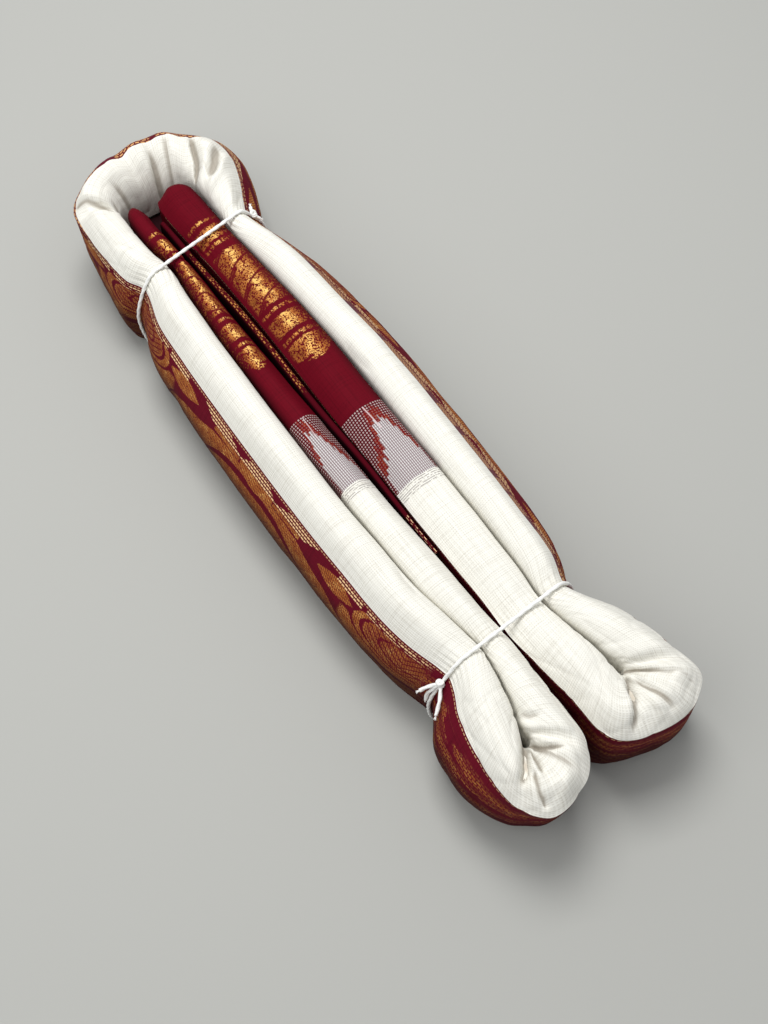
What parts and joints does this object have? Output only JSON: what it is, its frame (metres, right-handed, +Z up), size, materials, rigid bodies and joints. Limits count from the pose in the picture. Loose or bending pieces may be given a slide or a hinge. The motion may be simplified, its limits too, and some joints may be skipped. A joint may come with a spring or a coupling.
{
  "type": "folded cotton saree",
  "caption": "Cotton saree folded lengthwise into a strip on edge, laid to and fro in arms with rounded turns, and tied across with thread.",
  "frame": {"origin": "middle of the bundle's footprint, on the surface that it lies on", "axes": "+X along the arms, from the head turn towards the two smaller turns; +Y across the arms; +Z up"},
  "size_m": [0.3716, 0.102, 0.0546],
  "materials": {
    "body_cotton": "handloom cotton, plain weave, matt",
    "border_zari": "maroon cotton with woven gold thread motifs",
    "pallu_zari": "crimson cotton with woven gold bands",
    "join_weave": "red and white interlocked yarns",
    "inner_layers": "stacked layers of the same cotton",
    "tie_thread": "twisted white cotton"
  },
  "bodies": {
    "root": {"body_head": "body_cotton", "border_head": "border_zari", "body_left_outer": "body_cotton", "border_left_outer": "border_zari", "body_right_outer": "body_cotton", "border_right_outer": "border_zari", "body_left_turn": "body_cotton", "border_left_turn": "border_zari", "body_right_turn": "body_cotton", "border_right_turn": "border_zari", "body_left_inner": "body_cotton", "border_left_inner": "border_zari", "body_right_inner": "body_cotton", "border_right_inner": "border_zari", "border_middle_fold": "border_zari", "pallu_left": "pallu_zari", "pallu_right": "pallu_zari", "pallu_left_end": "pallu_zari", "pallu_right_end": "pallu_zari", "pallu_middle_fold": "pallu_zari", "join_left": "join_weave", "join_right": "join_weave", "hidden_layers": "inner_layers", "tie_upper": "tie_thread", "tie_lower": "tie_thread"}
  },
  "joints": []
}
